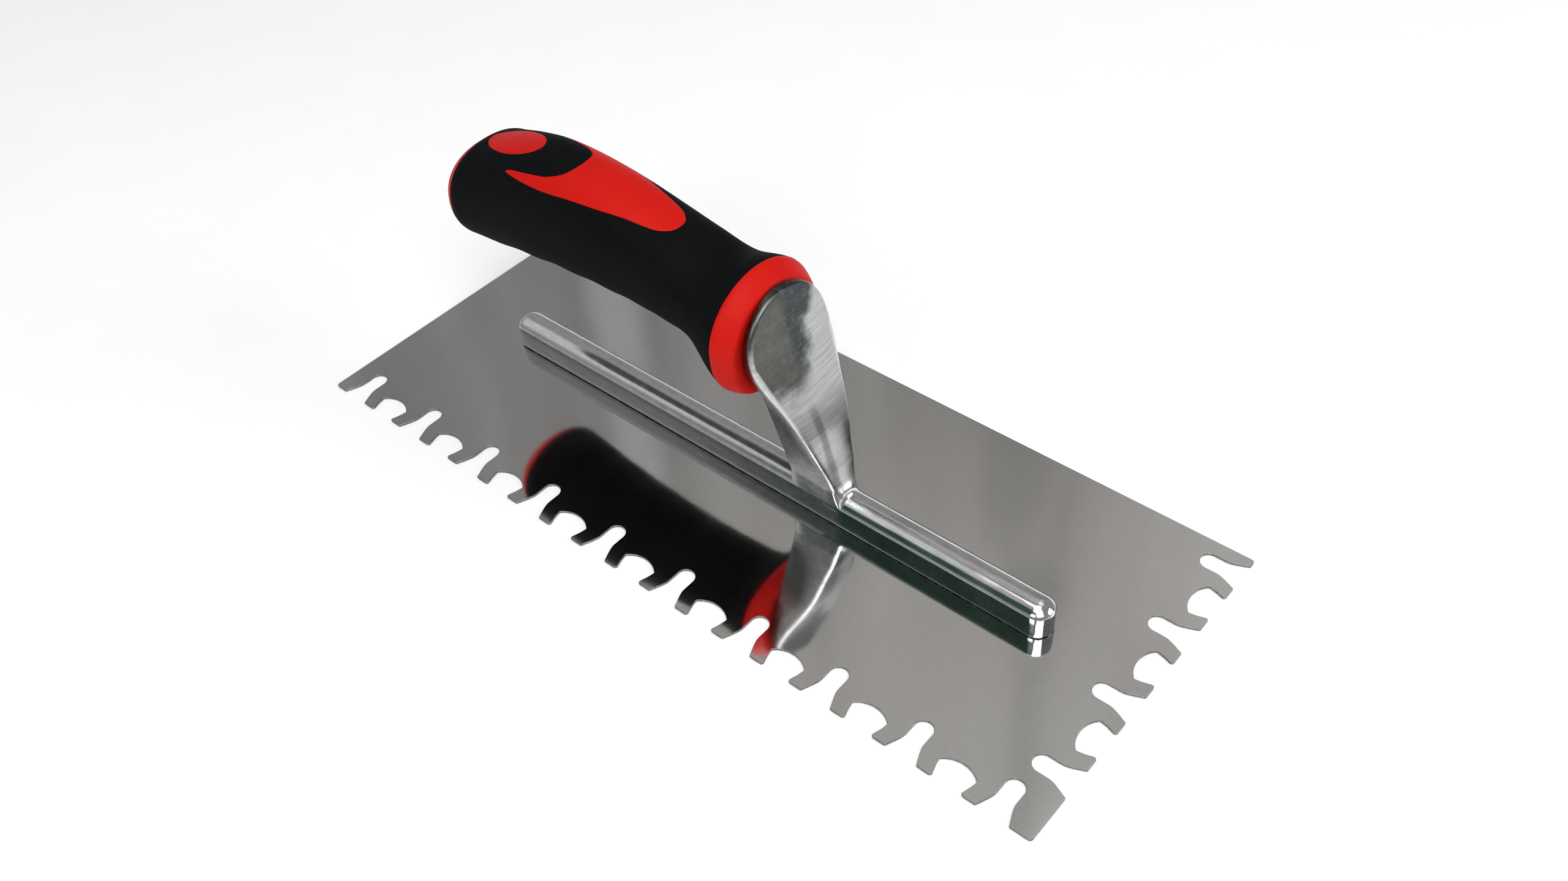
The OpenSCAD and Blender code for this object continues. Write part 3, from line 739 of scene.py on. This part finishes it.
def dot_outline(g):
    c, s = math.cos(math.radians(-7)), math.sin(math.radians(-7))
    q = [((13.2 - g) * math.cos(2 * math.pi * i / 72), (6.8 - g) * math.sin(2 * math.pi * i / 72)) for i in range(72)]
    return np.array([(-88.9 + x * c - y * s, x * s + y * c) for x, y in q])


def prism(name, pts, z0, z1):
    n = len(pts)
    V = [(p[0], p[1], z0) for p in pts] + [(p[0], p[1], z1) for p in pts]
    F = [tuple(range(n - 1, -1, -1)), tuple(range(n, 2 * n))] + [(i, (i + 1) % n, n + (i + 1) % n, n + i) for i in range(n)]
    me = bpy.data.meshes.new(name)
    me.from_pydata([tuple(float(c) * MM for c in v) for v in V], [], F)
    o = bpy.data.objects.new(name, me)
    sc.collection.objects.link(o)
    fix_normals(o)
    return o


def grip_body(name, x0, x1, steps, n=168, off=0.0):
    xs = [x0 + (x1 - x0) * k / steps for k in range(steps + 1)]
    xs = sorted(set([x for x in xs if x > GRIP_X0 + BUTT_L] + [GRIP_X0 + BUTT_L * (1 - math.cos(math.radians(t))) for t in range(4, 91, 4)] + [x0, x1]))
    xs = [x for x in xs if x0 <= x <= x1]
    xs = [x for i, x in enumerate(xs) if i == 0 or x - xs[i - 1] > 0.05]
    v, f = loft([ring(x, off=off, n=n) for x in xs])
    return v, f


def drop(o):
    me = o.data
    bpy.data.objects.remove(o)
    bpy.data.meshes.remove(me)


v, f = grip_body("g", CAP_X + 0.04, GRIP_X1 - 0.04, 118)
black = new_obj("grip_soft_shell", v, f, [M_BLACK])
fix_normals(black)
leaf = new_obj("leaf_insert", v, f, [M_RED])
fix_normals(leaf)
dot = new_obj("dot_insert", v, f, [M_RED])
fix_normals(dot)
for o, make, name in ((leaf, leaf_outline, "leaf"), (dot, dot_outline, "dot")):
    cut = prism("cut_" + name, make(0.0), AXIS_Z + 5, AXIS_Z + 40)
    boolean(black, cut, "DIFFERENCE")
    drop(cut)
    keep = prism("keep_" + name, make(0.07), AXIS_Z + 5.2, AXIS_Z + 40)
    boolean(o, keep, "INTERSECT")
    drop(keep)
for o in (black, leaf, dot):
    bevel(o, 0.16, 2, 50)
    smooth_all(o, 40)
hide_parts("grip_overmould")
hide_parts("inlay_leaf")
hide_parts("inlay_dot")

# collar: rounded red ring, open mouth for the tang behind the disc
PROF = [(0.0, 0.985, 0.985), (0.12, 0.999, 0.999), (0.6, 1.015, 1.008), (1.4, 1.022, 1.006), (2.3, 1.02, 0.996), (3.3, 1.006, 0.976), (4.5, 0.982, 0.947),
        (5.6, 0.955, 0.916), (6.2, 0.935, 0.895), (6.55, 0.912, 0.872), (6.74, 0.885, 0.845), (6.8, 0.855, 0.815), (6.8, 0.80, 0.76), (6.6, 0.74, 0.70)]
KX = COLLAR_X - GRIP_X1
pr = np.array(PROF)
tt = np.linspace(0, len(PROF) - 1, 66)
rings = []
for t in tt:
    r, k, kb = (float(np.interp(t, range(len(PROF)), pr[:, i])) for i in range(3))
    rings.append(ring(GRIP_X1 + r * KX / 6.8, 0, k, kb, -0.28 * r))
v, f = loft(rings)
collar = new_obj("collar_ring", v, f, [M_RED])
fix_normals(collar)
smooth_all(collar, 50)
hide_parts("front_collar")

# butt cap: domed red end
xs = [GRIP_X0 + (CAP_X - 0.05 - GRIP_X0) * (0.012 + 0.988 * (k / 16) ** 2) for k in range(17)]
rings = [ring(x) for x in xs] + [ring(CAP_X - 0.01, k=0.985)]
v, f = loft(rings)
cap = new_obj("butt_dome", v, f, [M_RED])
fix_normals(cap)
smooth_all(cap, 50)
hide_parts("butt_cap")

# ------------------------------------------------------------------ floor, light, camera
fm = Mat("studio_floor")
fn = fm.noise(30.0, 4.0, 0.6)
ff = fm.noise(900.0, 2.0, 0.5)
fm.set(color=fm.mix(fm.rng(fn, 0.3, 0.7, 0.0, 1.0), (0.935, 0.935, 0.935), (0.95, 0.95, 0.95)), rough=0.9, normal=fm.bump(ff, 0.03, 0.0001), spec=0.1)
fl = new_obj("studio_floor", [(-6000, -6000, -0.25), (6000, -6000, -0.25), (6000, 6000, -0.25), (-6000, 6000, -0.25)], [(0, 1, 2, 3)], [fm.m], body=None, smooth=False)


def area(name, loc, target, size, power, color=(1, 1, 1), size_y=None):
    li = bpy.data.lights.new(name, "AREA")
    li.energy, li.color, li.size = power, color, size
    if size_y:
        li.shape, li.size_y = "RECTANGLE", size_y
    o = bpy.data.objects.new(name, li)
    sc.collection.objects.link(o)
    o.location = loc
    o.rotation_euler = (Vector(target) - Vector(loc)).to_track_quat("-Z", "Y").to_euler()
    return o


area("soft_key", (0.70, -0.55, 1.30), (0, 0, 0), 0.8, 11.0)
area("soft_right", (1.30, 0.75, 0.75), (0, 0, 0.03), 0.7, 8.0)
area("soft_left", (0.10, -1.45, 1.15), (0, 0, 0.03), 0.7, 5.0)
area("soft_top", (0.12, -0.25, 1.90), (0, 0, 0), 1.1, 12.0)

w = bpy.data.worlds.new("soft_room")
sc.world = w
w.use_nodes = True
nt = w.node_tree
nt.nodes.clear()


def wn(kind, **kw):
    n = nt.nodes.new(kind)
    for k, v in kw.items():
        setattr(n, k, v)
    return n


def wput(s, v):
    if hasattr(v, "links"):
        nt.links.new(v, s)
    else:
        s.default_value = v


def wmath(op, a, b=0.0):
    n = wn("ShaderNodeMath", operation=op)
    wput(n.inputs[0], a)
    wput(n.inputs[1], b)
    return n.outputs[0]


out = wn("ShaderNodeOutputWorld")
bg = wn("ShaderNodeBackground")
nt.links.new(bg.outputs[0], out.inputs[0])
gen = wn("ShaderNodeTexCoord").outputs["Generated"]


def toward(az, el):
    """Cosine of the angle between a sky direction and (az, el), in degrees."""
    a, e = math.radians(az), math.radians(el)
    n = wn("ShaderNodeVectorMath", operation="DOT_PRODUCT")
    nt.links.new(gen, n.inputs[0])
    n.inputs[1].default_value = (math.cos(e) * math.cos(a), math.cos(e) * math.sin(a), math.sin(e))
    return n.outputs["Value"]


def step(v, a, b):
    n = wn("ShaderNodeMapRange", interpolation_type="SMOOTHSTEP")
    wput(n.inputs["Value"], v)
    n.inputs["From Min"].default_value, n.inputs["From Max"].default_value = a, b
    return n.outputs[0]


def wmix(f, a, b):
    n = wn("ShaderNodeMix", data_type="RGBA")
    wput(n.inputs[0], f)
    n.inputs[6].default_value = (0, 0, 0, 1)
    if hasattr(a, "links"):
        nt.links.new(a, n.inputs[6])
    else:
        n.inputs[6].default_value = (*a, 1)
    n.inputs[7].default_value = (*b, 1)
    return n.outputs[2]


# wall and ceiling: mid grey, lighter towards the top, with faint upright streaks
ramp = wn("ShaderNodeValToRGB")
nt.links.new(toward(120, 60), ramp.inputs[0])
cr = ramp.color_ramp
cr.elements[0].position, cr.elements[0].color = 0.875, (0.272, 0.270, 0.272, 1)
cr.elements[1].position, cr.elements[1].color = 1.0, (0.480, 0.472, 0.460, 1)
for pos, col in ((0.93, (0.295, 0.291, 0.289, 1)), (0.955, (0.330, 0.322, 0.312, 1)), (0.985, (0.440, 0.430, 0.412, 1))):
    e = cr.elements.new(pos)
    e.color = col
sepd = wn("ShaderNodeSeparateXYZ")
nt.links.new(gen, sepd.inputs[0])
azn = wmath("ARCTAN2", sepd.outputs[1], sepd.outputs[0])
no = wn("ShaderNodeTexNoise", noise_dimensions="2D")
cmb = wn("ShaderNodeCombineXYZ")
nt.links.new(wmath("MULTIPLY", azn, 5.5), cmb.inputs[0])
nt.links.new(wmath("MULTIPLY", sepd.outputs[2], 1.6), cmb.inputs[1])
nt.links.new(cmb.outputs[0], no.inputs["Vector"])
no.inputs["Scale"].default_value = 2.4
no.inputs["Detail"].default_value = 2.0
col = ramp.outputs[0]
col = wmix(wmath("MULTIPLY", step(no.outputs["Fac"], 0.52, 0.70), 0.22), col, (0.56, 0.56, 0.55))
col = wmix(wmath("MULTIPLY", wmath("SUBTRACT", 1.0, step(no.outputs["Fac"], 0.30, 0.46)), 0.25), col, (0.12, 0.12, 0.12))
# one brighter upright strip
d1 = wmath("ABSOLUTE", wmath("SUBTRACT", azn, math.radians(141.3)))
col = wmix(wmath("MULTIPLY", wmath("SUBTRACT", 1.0, step(d1, 0.010, 0.030)), 0.42), col, (0.62, 0.63, 0.63))
# pale ceiling panel over the bar, dark green bench side low on the left, dim band between them
col = wmix(step(toward(-166, 51), 0.915, 0.980), col, (0.66, 0.67, 0.68))
col = wmix(wmath("MULTIPLY", step(toward(96, 64), 0.976, 0.992), 0.85), col, (1.05, 1.08, 1.12))
col = wmix(step(toward(-118, 47), 0.965, 0.985), col, (0.034, 0.072, 0.053))
col = wmix(wmath("MULTIPLY", step(toward(104, 45), 0.985, 0.998), 0.35), col, (0.80, 0.79, 0.78))
col = wmix(wmath("MULTIPLY", step(toward(119.5, 50), 0.99960, 0.99988), 0.35), col, (0.16, 0.16, 0.16))
col = wmix(wmath("MULTIPLY", step(toward(146, 56), 0.9955, 0.9985), 0.9), col, (0.035, 0.06, 0.05))
# darker doorway low behind the far right
col = wmix(wmath("MULTIPLY", step(toward(35, 12), 0.93, 0.975), 0.85), col, (0.06, 0.072, 0.066))
# light reaching the foot of the shank by way of the sheet, and a plain pale horizon
col = wmix(wmath("MULTIPLY", step(toward(33, 29), 0.945, 0.985), 0.30), col, (0.80, 0.80, 0.80))
col = wmix(wmath("SUBTRACT", 1.0, step(sepd.outputs[2], 0.06, 0.17)), col, (0.62, 0.62, 0.62))
nt.links.new(col, bg.inputs[0])
bg.inputs[1].default_value = 0.97

cam_d = bpy.data.cameras.new("cam")
cam = bpy.data.objects.new("cam", cam_d)
sc.collection.objects.link(cam)
cam_d.sensor_width, cam_d.lens = 36.0, 33.83
cam_d.clip_start, cam_d.clip_end = 0.01, 30.0
R3 = Matrix(((0.760747, -0.420308, 0.494576), (0.646571, 0.557272, -0.520955), (-0.056652, 0.716093, 0.695702)))
cam.matrix_world = Matrix.Translation((0.23169, -0.23092, 0.32723)) @ R3.to_4x4()
sc.camera = cam
